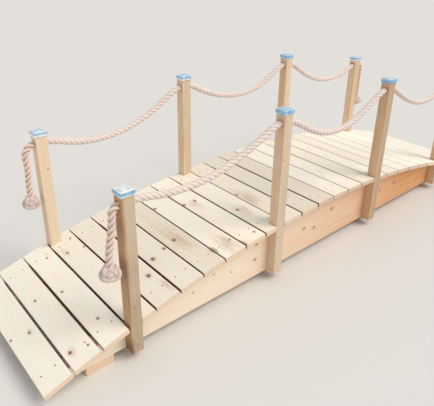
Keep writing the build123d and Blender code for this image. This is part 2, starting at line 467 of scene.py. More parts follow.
SCREW_WEAR = ((0.0011, 0.0011, 0.0011), 3.0, 0.5)
CRYSTALS_PER_METRE = 170.0

GREEN_TINT = (0.980, 0.992, 0.960)
PINK_TINT = (1.0, 0.969, 0.960)

# What all nodes of a kind have in common here
NODE_OPTIONS = {
    "Mix": {"data_type": "RGBA"}, "MapRange": {"interpolation_type": "SMOOTHSTEP"},
}


def feed(socket, value):
    """Sets a socket to a value, or links it to the output that feeds it. None leaves it."""
    if isinstance(value, bpy.types.NodeSocket):
        socket.id_data.links.new(value, socket)
    elif value is not None:
        socket.default_value = (*value[:3], 1.0) if socket.type == "RGBA" else value


def add_node(tree, kind, *inputs, output=None, **options):
    """One new node with its options, and its first output or the one named. kind is the
    node's kind and, after a space, its operation. The inputs go to the sockets in use, in
    their order."""
    kind, _, operation = kind.partition(" ")
    made = tree.nodes.new("ShaderNode" + kind)
    if operation:
        made.operation = operation
    for name, value in {**NODE_OPTIONS.get(kind, {}), **options}.items():
        setattr(made, name, value)
    for socket, value in zip([socket for socket in made.inputs if socket.enabled], inputs):
        feed(socket, value)
    return next(s for s in made.outputs if s.enabled and output in (None, s.name))


def new_material(name):
    """An empty node material, and add_node for its tree."""
    material = bpy.data.materials.new(name)
    material.use_nodes = True
    return material, partial(add_node, material.node_tree)


def shaded(material, sockets):
    """The material, with its shader's sockets set or fed by name."""
    shader = material.node_tree.nodes["Principled BSDF"]
    for name, value in sockets.items():
        feed(shader.inputs[name], value)
    return material


def scaled_by(colour, share):
    """A colour made lighter or darker, up to white."""
    return [min(1.0, c * share) for c in colour[:3]]


def reach_from(node, spot, place, weights):
    """How far a place is from a spot, with the distance along each axis weighted."""
    away = node("VectorMath SUBTRACT", place, spot)
    away = node("VectorMath MULTIPLY", away, weights)
    return node("VectorMath LENGTH", away)


def knots_in_wood(node, place, distance, spots):
    """Bends the rings' distance from the pith outwards round each knot, by a bell of the
    knot's own size. Gives that distance, and how many radii away the nearest knot is."""
    size, detail, roughness = KNOT_EDGES
    ragged = node("VectorMath DIVIDE", place, size)
    ragged = node("TexNoise", ragged, 1.0, detail, roughness)
    ragged = node("Math SUBTRACT", ragged, 0.5)
    nearest = None
    for spot in spots:
        size = spot[2] if isinstance(spot, tuple) else node("SeparateXYZ", spot, output="Z")
        radii = node("Math DIVIDE", reach_from(node, spot, place, (0.75, 1.0, 0.0)), size)
        radii = node("Math MULTIPLY_ADD", ragged, 0.5, radii)
        bell = node("Math MULTIPLY", radii, radii)
        bell = node("Math MULTIPLY", bell, -0.16)
        bell = node("Math EXPONENT", bell)
        lift = node("Math MULTIPLY", size, 1.6)
        distance = node("Math MULTIPLY_ADD", bell, lift, distance)
        nearest = radii if nearest is None else node("Math MINIMUM", nearest, radii)
    return distance, nearest


def planed_timber(name, timber, early, late, end_colour, knot_colour, ring, contrast, knots=(),
                  soak=(26.0, 70.0, 70.0), uneven=1.0):
    """Planed softwood: the rings' late wood shows as soft darker lines, fibres catch the light
    along the board, and the surface is silky with a few drying checks. The attribute grain holds
    metres along, across and through the piece, pith where its heart lies, tone and warmth its
    shade, partly painted light and shade on the boards and posts, edge the painted shade on the
    boards' edges down in the gaps, the three knot attributes where its knots are, figure and stain
    where it is marked; knots adds more knots by number. Rings are cylinders round the pith, wavy
    along the grain and bent round the knots. soak is one over a stain's reach, and uneven is how
    much the streaks and patches show."""
    material, node = new_material(name)
    place, pith, one, two, three, figure, stain = [
        node("Attribute", output="Vector", attribute_name=label)
        for label in ("grain", "pith", "knot_one", "knot_two", "knot_three", "figure", "stain")
    ]
    tone, warmth, edge, end, end_shade = [
        node("Attribute", output="Fac", attribute_name=label)
        for label in ("tone", "warmth", "edge", "end_grain", "end_shade")
    ]
    from_pith = node("VectorMath SUBTRACT", place, pith)
    marks = []
    for size, detail, roughness in (RING_SWAY, FIBRES, STREAKS, PATCHES, CHECKS, CHECKED_AREAS):
        scaled = node("VectorMath DIVIDE", from_pith, size)
        marks.append(node("TexNoise", scaled, 1.0, detail, roughness))
    sway, fibre, streak, patch, line, area = marks

    # Rings: the late wood darkens slowly outwards and ends at once
    distance = node("VectorMath MULTIPLY", from_pith, (0.0, 1.0, 1.0))
    distance = node("VectorMath LENGTH", distance)
    distance = node("Math MULTIPLY_ADD", sway, 0.030, distance)
    distance, radii = knots_in_wood(node, place, distance, [one, two, three, *knots])
    phase = node("Math DIVIDE", distance, ring)
    phase = node("Math FRACT", phase)
    late_wood = node("Math POWER", phase, 2.2)
    late_wood = node("Math MULTIPLY", late_wood, node("MapRange", phase, 1.0, 0.93))

    # Shade of the wood, and painted shade on the boards' edges down in the gaps
    share = node("Math MULTIPLY", late_wood, contrast)
    weights = {warmth: 0.5, fibre: 0.50, streak: 0.75 * uneven, patch: 0.45 * uneven}
    for part, weight in weights.items():
        share = node("Math MULTIPLY_ADD", part, weight, share)
    share = node("Math SUBTRACT", share, 0.25 + 0.60 * uneven, use_clamp=True)
    wood = node("Mix", share, early, late)
    tint = node("Mix", node("MapRange", patch, 0.38, 0.62), GREEN_TINT, PINK_TINT)
    wood = node("VectorMath MULTIPLY", wood, tint)
    glow = node("Math MULTIPLY_ADD", streak, 0.12, 0.87)
    glow = node("Math MULTIPLY_ADD", patch, 0.14, glow)
    glow = node("Math MULTIPLY_ADD", tone, 0.16, glow)
    wood = node("VectorMath SCALE", wood, glow)
    share = node("Math MULTIPLY", edge, 0.97)
    wood = node("Mix", share, wood, timber.gap_shade_colour)

    # Swirled figure
    size = node("SeparateXYZ", figure, output="Z")
    away = node("Math DIVIDE", reach_from(node, figure, place, (0.40, 1.0, 0.0)), size)
    away = node("Math MULTIPLY_ADD", patch, 1.8, away)
    away = node("Math MULTIPLY_ADD", fibre, 1.1, away)
    weight = node("Math MULTIPLY_ADD", late_wood, 0.45, 0.50)
    share = node("Math MULTIPLY", node("MapRange", away, 2.35, 1.15), weight)
    wood = node("Mix", share, wood, timber.figure_colour)

    # Knots: a halo, a core with fine rings of its own, and a darker rim
    share = node("MapRange", radii, 2.6, 0.9, 0.0, 0.35)
    wood = node("Mix", share, wood, scaled_by(late, 0.82))
    share = node("Math MULTIPLY", radii, 21.0)
    share = node("Math SINE", share)
    share = node("Math MULTIPLY_ADD", share, 0.10, 0.28)
    core = node("Mix", share, knot_colour, scaled_by(knot_colour, 2.6))
    rim = node("Math SUBTRACT", radii, 0.92)
    rim = node("Math ABSOLUTE", rim)
    share = node("MapRange", rim, 0.22, 0.05)
    core = node("Mix", share, core, scaled_by(knot_colour, 0.75))
    share = node("MapRange", radii, 1.35, 0.65)
    wood = node("Mix", share, wood, core)

    # Stain
    away = node("Math MULTIPLY_ADD", streak, -0.9, reach_from(node, stain, place, soak))
    share = node("MapRange", away, 0.75, -0.25, 0.0, 0.65)
    wood = node("Mix", share, wood, timber.stain_colour)

    # Sawn ends
    share = node("Math MULTIPLY", late_wood, 0.5)
    sawn = node("Mix", share, end_colour, scaled_by(late, 0.8))
    dim = node("Math MULTIPLY_ADD", end_shade, -1.0, 1.0)
    sawn = node("VectorMath SCALE", sawn, dim)
    share = node("Math MULTIPLY", end, 0.85)
    wood = node("Mix", share, wood, sawn)

    # Drying checks
    line = node("Math SUBTRACT", line, 0.5)
    line = node("Math ABSOLUTE", line)
    line = node("MapRange", line, 0.010, 0.003)
    check = node("Math MULTIPLY", line, node("MapRange", area, 0.66, 0.72))
    share = node("Math MULTIPLY", check, 0.5)
    wood = node("Mix", share, wood, scaled_by(late, 0.5))

    height = node("Math MULTIPLY", fibre, 0.5)
    height = node("Math MULTIPLY_ADD", late_wood, 0.35, height)
    height = node("Math MULTIPLY_ADD", check, -1.5, height)
    return shaded(material, {
        "Base Color": wood,
        "Roughness": node("Math MULTIPLY_ADD", fibre, 0.25, 0.48),
        "Specular IOR Level": 0.35,
        "Normal": node("Bump", 0.5, 0.0006, None, height),
    })


def laid_rope(name, rope):
    """Three-strand natural fibre rope: dry, matt and hairy, pale on the crests and darker and
    browner in the grooves, where shade is painted. The attribute strand holds metres across, across
    and along the rope, turning with the rope, so yarns are fine ridges along it; its distance from
    the middle tells the grooves from the crests. handled is 1 where hands have browned it, and
    painted_light runs from 0 on its underside to 1 on top, painted light and shade that make the
    top lighter; the hanging ends have it above 1 all round, and the knots below 0, which darkens
    them."""
    material, node = new_material(name)
    place = node("Attribute", output="Vector", attribute_name="strand")
    handled = node("Attribute", output="Fac", attribute_name="handled")
    painted_light = node("Attribute", output="Fac", attribute_name="painted_light")
    body = node("TexCoord", output="Object")
    marks = []
    for where, (size, detail, roughness) in (
        (place, YARNS), (place, YARN_FIBRES), (body, ROPE_PATCHES), (body, ROPE_SPECKS)
    ):
        scaled = node("VectorMath DIVIDE", where, size)
        marks.append(node("TexNoise", scaled, 1.0, detail, roughness))
    yarn, fibre, patch, speck = marks
    # Painted shade: the colour darkens from the crests down into the grooves between the strands
    depth = node("VectorMath MULTIPLY", place, (1.0, 1.0, 0.0))
    depth = node("VectorMath LENGTH", depth)
    depth = node("MapRange", depth, 0.49 * rope.diameter, 0.33 * rope.diameter)
    colour = node("Mix", depth, rope.colour, rope.groove_shade_colour)
    worn = node("Mix", depth, rope.handled_colour, rope.handled_groove_shade_colour)
    colour = node("Mix", handled, colour, worn)
    # Painted light and shade: lighter on the top of the rope and darker on its underside
    shade = node("Math MULTIPLY_ADD", painted_light, 0.15, 0.59)
    for part, weight in {yarn: 0.34, fibre: 0.20, patch: 0.16}.items():
        shade = node("Math MULTIPLY_ADD", part, weight, shade)
    colour = node("VectorMath SCALE", colour, shade)
    share = node("MapRange", speck, 0.52, 0.72, 0.0, 0.30)
    height = node("Math MULTIPLY", fibre, 0.3)
    height = node("Math MULTIPLY_ADD", yarn, 0.7, height)
    return shaded(material, {
        "Base Color": node("Mix", share, colour, scaled_by(rope.groove_shade_colour, 1.1)),
        "Roughness": 0.82,
        "Specular IOR Level": 0.2,
        "Sheen Weight": 0.25,
        "Sheen Roughness": 0.5,
        "Normal": node("Bump", 0.9, 0.0016, None, height),
    })


def galvanised_sheet(name, metal):
    """Galvanised steel sheet: faint spangle of 6 mm crystals, soft scuffs and a duller bloom here
    and there. The attribute rim is 1 on the folded rim, which is bluer, lip is 1 along its whiter
    lower edge, and pale is how much painted highlight, the sky's reflection, whitens a cap's top."""
    material, node = new_material(name)
    rim, lip, pale = [
        node("Attribute", output="Fac", attribute_name=label) for label in ("rim", "lip", "pale")
    ]
    body = node("TexCoord", output="Object")
    marks = []
    for size, detail, roughness in (BLOOM, SCUFFS):
        scaled = node("VectorMath DIVIDE", body, size)
        marks.append(node("TexNoise", scaled, 1.0, detail, roughness))
    bloom, scuff = marks
    spangle = node("TexVoronoi", body, CRYSTALS_PER_METRE, output="Color")
    spangle = node("SeparateColor", spangle)
    dull = node("MapRange", bloom, 0.45, 0.7)
    share = node("Math MULTIPLY", spangle, 0.25)
    tint = node("Mix", share, metal.cap_colour, scaled_by(metal.cap_colour, 0.72))
    share = node("Math MULTIPLY", rim, 0.9)
    tint = node("Mix", share, tint, metal.cap_rim_colour)
    share = node("Math MULTIPLY", dull, 0.6)
    tint = node("Mix", share, tint, [0.6 + 0.4 * c for c in metal.cap_colour])
    # Painted highlight on the tops, and the whiter lower edge of the rims
    share = node("Math MAXIMUM", pale, lip)
    share = node("Math MULTIPLY", share, node("MapRange", bloom, 0.3, 0.5))
    rough = node("Math MULTIPLY_ADD", dull, 0.22, 0.26)
    return shaded(material, {
        "Base Color": node("Mix", share, tint, metal.cap_white_colour),
        "Metallic": 0.4,
        "Roughness": node("Math MULTIPLY_ADD", spangle, 0.1, rough),
        "Normal": node("Bump", 0.15, 0.0003, None, scuff),
    })


def screw_steel(name, colour):
    """Coated steel of the screws, scratched in the recess and dull with weather."""
    material, node = new_material(name)
    size, detail, roughness = SCREW_WEAR
    wear = node("VectorMath DIVIDE", node("TexCoord", output="Object"), size)
    wear = node("TexNoise", wear, 1.0, detail, roughness)
    share = node("MapRange", wear, 0.4, 0.65)
    return shaded(material, {
        "Base Color": node("Mix", share, colour, scaled_by(colour, 0.45)),
        "Metallic": 0.9,
        "Roughness": node("MapRange", wear, 0.3, 0.7, 0.32, 0.6),
    })


# Surfaces


def ring_faces(rows, columns):
    """The quads between rows of points, each row joined round."""
    row, column = np.mgrid[: rows - 1, :columns]
    after = (column + 1) % columns
    low, high = row * columns, (row + 1) * columns
    return np.stack([low + column, low + after, high + after, high + column], axis=-1)


def tube(rings):
    """A surface through rings of points with a face over each end. Gives its points and its
    faces, and marks the points of the two ends by 1."""
    rows, columns = rings.shape[:2]
    faces = ring_faces(rows, columns).reshape(-1, 4).tolist()
    faces += [list(range(columns)), list(range((rows - 1) * columns, rows * columns))]
    end = np.zeros((rows, columns))
    end[[0, -1]] = 1.0
    return rings.reshape(-1, 3), faces, end.ravel()


def copied(places, faces):
    """Copies of one surface as one: their points in a row, and the faces numbered on."""
    count = len(places[0])
    starts = range(0, count * len(places), count)
    numbered = [[corner + start for corner in face] for start in starts for face in faces]
    return np.concatenate(places), numbered


def add_piece(name, points, faces, material, slot, replaced=(), values=None, sharp=35):
    """One finished piece at the origin from arrays of points and lists of faces, with values
    kept as point attributes, its doubles merged and its faces turned outwards."""
    mesh = bpy.data.meshes.new(name)
    mesh.from_pydata(points.tolist(), [], faces)
    for label, data in (values or {}).items():
        kind, field = ("FLOAT_VECTOR", "vector") if data.ndim == 2 else ("FLOAT", "value")
        layer = mesh.attributes.new(label, kind, "POINT")
        layer.data.foreach_set(field, data.astype(np.float32).ravel())
    work = bmesh.new()
    work.from_mesh(mesh)
    bmesh.ops.remove_doubles(work, verts=work.verts, dist=1e-6)
    bmesh.ops.recalc_face_normals(work, faces=work.faces)
    work.to_mesh(mesh)
    work.free()
    mesh.polygons.foreach_set("use_smooth", np.ones(len(mesh.polygons), dtype=bool))
    mesh.set_sharp_from_angle(angle=radians(sharp))
    mesh.materials.append(material)
    piece = bpy.data.objects.new(name, mesh)
    bpy.context.scene.collection.objects.link(piece)
    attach(piece, "root")
    if replaced:
        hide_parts(*replaced)
    return piece


def read_route(name, side, points):
    """The smooth line of the NURBS spline of order 3 that has these control points."""
    curve = bpy.data.curves.new(name, "CURVE")
    curve.dimensions = "3D"
    spline = curve.splines.new("NURBS")
    spline.points.add(len(points) - 1)
    x, height = np.array(points).T / 1000
    ones = np.ones(len(x))
    place = np.column_stack([x, side * POST_ROW * ones, height + BEAM_BOTTOM, ones])
    spline.points.foreach_set("co", place.ravel())
    spline.order_u = 3
    spline.use_endpoint_u = True
    spline.resolution_u = 24
    holder = bpy.data.objects.new(name, curve)
    bpy.context.scene.collection.objects.link(holder)
    mesh = bpy.data.meshes.new_from_object(holder)
    line = np.empty(len(mesh.vertices) * 3)
    mesh.vertices.foreach_get("co", line)
    bpy.data.objects.remove(holder)
    bpy.data.curves.remove(curve)
    bpy.data.meshes.remove(mesh)
    return line.reshape(-1, 3)


def length_along(line):
    """The length of a line up to each of its points."""
    runs = np.linalg.norm(np.diff(line, axis=0), axis=1)
    return np.concatenate([[0.0], np.cumsum(runs)])


def even_steps(line, step):
    """The line read off again at equal steps of its own length, and that length at each."""
    along = length_along(line)
    stops = np.linspace(0.0, along[-1], int(np.ceil(along[-1] / step)) + 1)
    points = np.column_stack([np.interp(stops, along, line[:, axis]) for axis in range(3)])
    return points, stops


def unit(directions):
    """The directions, each with length 1."""
    return directions / np.linalg.norm(directions, axis=1)[:, None]


def frame_turn(tangent, normal):
    """How far a normal has turned about its line by each point: the sum of the angles from
    each normal, laid square to the next tangent, to the next normal."""
    before = normal[:-1] - tangent[1:] * (normal[:-1] * tangent[1:]).sum(axis=1)[:, None]
    beside = np.cross(tangent[1:], before)
    turns = np.arctan2((normal[1:] * beside).sum(axis=1), (normal[1:] * before).sum(axis=1))
    return np.concatenate([[0.0], np.cumsum(turns)])


def strand_surface(centres, tangent, along, normal, radius, lay, relief, start_turn=0.0,
                   closed=False):
    """A three-strand rope. Round each point of its line the surface is the outline of three
    equal circles set at thirds of a turn: at an angle a from a strand's middle its distance
    is c cos a + sqrt(s s - c c sin a sin a), with c the circles' offset and s their radius;
    relief is c as a share of the whole radius. Along an open line each strand swells and
    shrinks as a sine. The outline turns once per lay, right-handed. normal is a direction
    across the line at each point. A closed line's outline turns by a whole number of thirds
    in all."""
    third = 2 * pi / 3
    tangent = unit(tangent)
    normal = unit(normal - tangent * (normal * tangent).sum(axis=1)[:, None])
    second = np.cross(tangent, normal)
    local = np.sin(np.linspace(-0.5, 0.5, 11)[:-1] * pi) * third / 2
    angle = (local + np.arange(3)[:, None] * third).ravel()
    offset = radius * relief
    reach = offset * np.cos(local) + np.sqrt((radius - offset) ** 2 - (offset * np.sin(local)) ** 2)
    turn = 2 * pi * along / lay - frame_turn(tangent, normal)
    if closed:
        turn += (np.round(turn[-1] / third) * third - turn[-1]) * along / along[-1]
    along = along[:, None]
    wave = np.sin(SWELL_RATE * along + np.repeat(SWELL_STARTS, len(local)))
    spread = np.tile(reach, 3) * (1 + (0.0 if closed else SWELL) * wave)
    whole = angle + (turn + start_turn)[:, None]
    rings = (
        centres[:, None]
        + (spread * np.cos(whole))[..., None] * normal[:, None]
        + (spread * np.sin(whole))[..., None] * second[:, None]
    )
    laid = angle + 2 * pi * along / lay
    length = np.broadcast_to(along, spread.shape)
    strand = np.stack([spread * np.cos(laid), spread * np.sin(laid), length], axis=-1)
    points, faces, _ = tube(rings)
    return points, faces[:-2] if closed else faces, strand.reshape(-1, 3)


def knot_line(width, depth, rope_radius, axis):
    """The rope's line in a stopper knot, a trefoil wound on a ring: at the parameter t it is
    at the angle 2t round the ring and 3t round the ring's own thickness. The ring lies
    across the axis, with one of its three lobes on top. Gives the points, the tangents and
    the directions out of the ring's core."""
    t = np.linspace(0, 2 * pi, 421)[:, None]
    reach = width / 2 - rope_radius
    thick = reach * KNOT_THICKNESS
    ring = reach - thick
    rise = depth / 2 - rope_radius
    up = np.array(axis) / np.linalg.norm(axis)
    side = np.cross([0.0, 0.0, 1.0], up)
    side *= KNOT_WIDENING / np.linalg.norm(side)
    top = np.cross(up, side) * KNOT_LOWERING
    radial = np.cos(2 * t) * top - np.sin(2 * t) * side
    around = -np.sin(2 * t) * top - np.cos(2 * t) * side
    out = thick * np.cos(3 * t) * radial + rise * np.sin(3 * t) * up
    tangent = (
        2 * (ring + thick * np.cos(3 * t)) * around
        - 3 * thick * np.sin(3 * t) * radial
        + 3 * rise * np.cos(3 * t) * up
    )
    return ring * radial + out, tangent, out


def corner_arc(radius, start):
    """Points of a quarter circle from the angle start, seen from its centre."""
    angle = start + np.linspace(0, pi / 2, 5)
    return radius * np.cos(angle), radius * np.sin(angle)


def bar_section(thickness, top_arris, low_arris, across=9):
    """Outline of a board's section as three rows: share of the width from the left edge to
    the right one, an inset from that edge, and depth below the top. Quarter circles round
    its corners."""
    parts = []
    for share, arris, start, depth in (
        (1.0, low_arris, -pi / 2, low_arris - thickness), (1.0, top_arris, 0.0, -top_arris),
        (0.0, top_arris, pi / 2, -top_arris), (0.0, low_arris, pi, low_arris - thickness),
    ):
        x, z = corner_arc(arris, start)
        parts.append([np.full(len(x), share), x + arris * (1 - 2 * share), z + depth])
    parts.insert(2, [np.linspace(1, 0, across + 2)[1:-1], np.zeros(across), np.zeros(across)])
    return np.concatenate(parts, axis=1)


def bar_surface(stations, section, thickness, crown=0.0):
    """A board: its section carried along it. At each station the outline runs between that
    station's left and right edges, each sheared by its own slope, so a point lies at
    left + share (right - left) + inset + depth times slope. The top is lower by crown times
    the square of the share's distance from the middle. The end sections are eased. Rows of
    stations: place, left, right, left slope, right slope."""
    share, inset, depth = section
    rows = np.concatenate([stations[:1], stations, stations[-1:]])
    rows[[0, -1], 0] += [-EASE, EASE]
    place, left, right, left_slope, right_slope = rows.T[:, :, None]
    slope = (1 - share) * left_slope + share * right_slope
    x = left + share * (right - left) + inset + depth * slope
    bow = np.where(depth > -thickness / 2, crown * (2 * share - 1) ** 2, 0.0)
    z = np.broadcast_to(depth - bow, x.shape).copy()
    for row in (0, -1):
        middle = (x[row].min() + x[row].max()) / 2
        x[row] -= np.clip(x[row] - middle, -EASE, EASE)
        z[row] -= np.clip(z[row] + thickness / 2, -EASE, EASE)
    return tube(np.stack([x, np.broadcast_to(place, x.shape), z], axis=-1))


def timber_values(grain, end, pith, knots=(), **marks):
    """The point values that the timber material reads. marks are those of tone, warmth, edge,
    end_shade, figure and stain that the piece has."""
    values = {
        "pith": pith, "tone": 0.0, "warmth": 0.0, "end_grain": end, "edge": 0.0,
        "end_shade": 0.0, "figure": NO_FIGURE, "stain": NOWHERE, **marks,
    }
    values.update(zip(("knot_one", "knot_two", "knot_three"), [*knots, *[NO_KNOT] * 3]))
    count = len(grain)
    spread = {
        label: np.tile(value, (count, 1)) if isinstance(value, tuple) else np.full(count, value)
        for label, value in values.items()
    }
    return {"grain": grain, **spread}


def square_round(sides):
    """A closed outline from its four sides. Each is given as X and Y in the place of the
    first, and is turned by a quarter more than the one before."""
    parts = []
    for quarter, (x, y) in enumerate(sides):
        turn = quarter * pi / 2
        parts.append([x * cos(turn) - y * sin(turn), x * sin(turn) + y * cos(turn)])
    return np.concatenate([np.stack(part, axis=-1) for part in parts], axis=-2)


def raised(outlines, levels):
    """The outlines as rings of points, each at its level."""
    level = np.broadcast_to(levels[:, None, None], (*outlines.shape[:2], 1))
    return np.concatenate([outlines, level], axis=-1)


def post_surface(height, bore_height):
    """A square post with quarter-round arrises, carried up from its foot. Where the bore
    passes, each face across the bridge is a ring of quads from a square of panel points in
    to the circle of the bore, and the bore is the circle carried through."""
    half = POST_SIDE / 2
    flat = half - ARRIS
    ticks = np.linspace(-flat, flat, 9)
    arc_x, arc_y = corner_arc(ARRIS, 0.0)
    sides = [
        (np.r_[np.full(len(y), half), flat + arc_x[1:-1]], np.r_[y, flat + arc_y[1:-1]])
        for y in (ticks, ticks[::2])
    ]
    outline = square_round(sides * 2)
    shaft = np.linspace(EASE, bore_height - flat, 25)
    levels = np.r_[0.0, shaft[:-1], bore_height + ticks, height - EASE, height]
    inset = np.ones(len(levels))
    inset[[0, -1]] = 1 - EASE / half
    points, faces, end = tube(raised(outline * inset[:, None, None], levels))

    panel, around = len(ticks) - 1, len(outline)
    solid = np.ones((len(levels) - 1, around), dtype=bool)
    for first in (0, around // 2):
        solid[len(shaft) : len(shaft) + panel, first : first + panel] = False
    faces = [face for face, kept in zip(faces, [*solid.ravel(), True, True]) if kept]

    square = square_round([(ticks[:-1], np.full(panel, -flat))] * 4)
    bore = unit(square) * BORE_RADIUS
    mouth = unit(square) * (BORE_RADIUS + BORE_EASE)
    rings, bore_end = [], []
    for x, ring, shade in (
        (half, square, 0.0), (half, mouth, 0.3), (half - BORE_EASE, bore, 1.0),
        (BORE_EASE - half, bore, 1.0), (-half, mouth, 0.3), (-half, square, 0.0),
    ):
        rings.append(np.column_stack([np.full(len(ring), x), ring + [0.0, bore_height]]))
        bore_end.append(np.full(len(ring), shade))
    bore_faces = ring_faces(len(rings), len(square)).reshape(-1, 4) + len(points)
    return (
        np.concatenate([points, *rings]), faces + bore_faces.tolist(),
        np.concatenate([end, *bore_end]),
    )


def beam_surface(sign):
    """A beam: a rounded rectangle as tall as the arch is above the beam's underside, carried
    along X, with the top at sqrt(R R - x x) above the arc's centre."""
    inner = np.linspace(-BEAM_HALF, BEAM_HALF, 153)[1:-1]
    noses = np.array([BEAM_HALF - BEAM_EASE, BEAM_HALF])
    x = np.r_[-noses[::-1], inner, noses][:, None]
    top = np.sqrt(BEAM_TOP_RADIUS**2 - x**2) + DECK_CENTRE_Z
    # The section is taken 1 m thick, and its lower half is then set on the underside
    share, inset, depth = bar_section(1.0, BEAM_TOP_ARRIS, ARRIS, 0)
    z = np.where(depth > -0.5, top + depth, BEAM_BOTTOM + 1.0 + depth)
    y = np.broadcast_to(BEAM_WIDTH * (share - 0.5) + inset, z.shape).copy()
    y[[0, -1]] *= 1 - 2 * BEAM_EASE / BEAM_WIDTH
    return tube(np.stack([np.broadcast_to(x, z.shape), y + sign * BEAM_ROW, z], axis=-1))


def cap_surface():
    """A folded sheet cap: rounded squares of growing and shrinking half width, from the pole
    under its top, down inside the rim, over the rim's lip, up outside, round the fold and up
    the four slopes to the flat at the peak. Also says which points are on the rim."""
    centre, fold_level, fold_radius, fold_angle = CAP_FOLD
    turn = np.linspace(0, radians(fold_angle), 5)
    fold = [centre + fold_radius * np.cos(turn), fold_level + fold_radius * np.sin(turn)]
    half, level = np.concatenate([CAP_RIM, np.transpose(fold), CAP_SLOPE]).T
    corner = np.minimum(CAP_CORNER, half * CAP_CORNER_SHARE)[:, None]
    flat = half[:, None] - corner
    arc_x, arc_y = corner_arc(corner, 0.0)
    edge = flat * np.linspace(-1, 1, 6)[1:-1]
    x = np.concatenate([np.broadcast_to(half[:, None], edge.shape), flat + arc_x], axis=1)
    y = np.concatenate([edge, flat + arc_y], axis=1)
    points, faces, _ = tube(raised(square_round([(x, y)] * 4), level))
    rim = np.clip((CAP_RIM_TOP - level) / CAP_RIM_BLEND, 0, 1)
    return points, faces, np.repeat(rim, len(points) // len(rim))


def screw_surface():
    """A screw head with a six-lobed recess: circles of growing radius from the bottom of the
    recess, whose radius waves six times round, out over the domed head to its rim."""
    angle = np.linspace(0, 2 * pi, 19)[:-1]
    radius, level, wave = np.transpose(SCREW_RINGS)
    spread = radius[:, None] * (1 + wave[:, None] * np.cos(6 * angle))
    outlines = np.stack([spread * np.cos(angle), spread * np.sin(angle)], axis=-1)
    points, faces, _ = tube(raised(outlines, level))
    return points, faces


def board_place(number):
    """The middle of a board's top, its axes across, along and outwards, and its slope."""
    angle = (number - (BOARD_COUNT + 1) / 2) * BOARD_ANGLE
    across = np.array([cos(angle), 0.0, -sin(angle)])
    outward = np.array([sin(angle), 0.0, cos(angle)])
    middle = DECK_RADIUS * outward + [0.0, 0.0, DECK_CENTRE_Z]
    return middle, np.array([across, [0.0, 1.0, 0.0], outward]), angle


def post_middles():
    """The X of the middle of each post, and the height of its top."""
    found = {}
    for name in POST_NAMES:
        low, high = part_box(f"post_near_{name}")
        found[name] = ((low.x + high.x) / 2, high.z)
    return found


# Operators


class FOOTBRIDGE_OT_deck(bpy.types.Operator):
    """Lay the deck boards on their arc, each with its own grain, knots and shade"""

    bl_idname = "footbridge.deck"
    bl_label = "Deck boards"

    def execute(self, context):
        timber = context.scene.footbridge_timber
        material = planed_timber(
            "pine_planed_deck", timber, timber.board_colour, timber.board_late_colour,
            timber.end_colour, timber.knot_colour, ring=timber.ring_width, contrast=0.24,
        )
        section = bar_section(BOARD_THICKNESS, ARRIS, BOARD_LOW_ARRIS)
        share, _, depth = section
        gap_shaded = (-depth > GAP_SHADE[0]) & (-depth < GAP_SHADE[1])
        inner_edge = {1: share > 0.5, BOARD_COUNT: share < 0.5}
        edge = BOARD_WIDTH / 2
        shoulder = BOARD_LENGTH / 2 - POST_SIDE - POST_CLEARANCE
        for number in range(1, BOARD_COUNT + 1):
            chance = np.random.default_rng(DECK_SEED + number)
            middle, axes, angle = board_place(number)
            half = BOARD_LENGTH / 2 - EASE - chance.uniform(0, SAW_STRAY, 2)
            trims = [EDGE_TRIMS.get(gap, OTHER_TRIM) for gap in (number - 1, number)]
            plain = np.array([0.0, trims[0] - edge, edge - trims[1], 0.0, 0.0])
            notched = plain.copy()
            for x, _ in post_middles().values():
                offset = x - middle[0]
                if abs(offset) < (BOARD_WIDTH + POST_SIDE) / 2:
                    face = offset - copysign(POST_SIDE / 2 + POST_CLEARANCE, offset)
                    column = 1 if offset < 0 else 2
                    notched[[column, column + 2]] = face / cos(angle), -tan(angle)
            stations = np.array([notched] * 2 + [plain] * 11 + [notched] * 2)
            stations[:, 0] = [
                -half[0], -shoulder, -shoulder, *np.linspace(-PLAIN_REACH, PLAIN_REACH, 9),
                shoulder, shoulder, half[1],
            ]
            far_edges = stations[-3:, 1:3]
            far_edges += [-1, 1] * np.minimum(trims, FAR_TRIM) * (far_edges == plain[1:3])
            points, faces, end = bar_surface(stations, section, BOARD_THICKNESS, BOARD_CROWN)

            tone, warmth = BOARD_SHADES[number - 1]
            knots = BOARD_KNOTS.get(number) or [
                tuple(chance.uniform(*KNOT_LIMITS)) for _ in range(chance.integers(0, 3))
            ]
            pith = tuple(chance.uniform(*PITH_LIMITS) * [1, 1, -1])
            figure = tuple(chance.uniform(*FIGURE_LIMITS))
            # Painted shade on the boards' edges down in the gaps, left off the outer edges of the
            # first and last boards
            in_gap = np.zeros((len(stations) + 2, len(share)))
            in_gap[1:-1] = gap_shaded & inner_edge.get(number, True)
            values = timber_values(
                points[:, [1, 0, 2]], end, pith, knots, tone=tone, warmth=warmth,
                edge=in_gap.ravel(), stain=BOARD_STAINS.get(number, NOWHERE),
                figure=BOARD_FIGURES.get(number, figure),
                end_shade=DEEP_END_SHADE if number in SHADED_BOARDS else END_SHADE,
            )
            node = f"deck_board_{number:02d}"
            world = points @ axes + middle
            add_piece(f"{node}_planed", world, faces, material, "deck_timber", (node,), values)
        return {"FINISHED"}


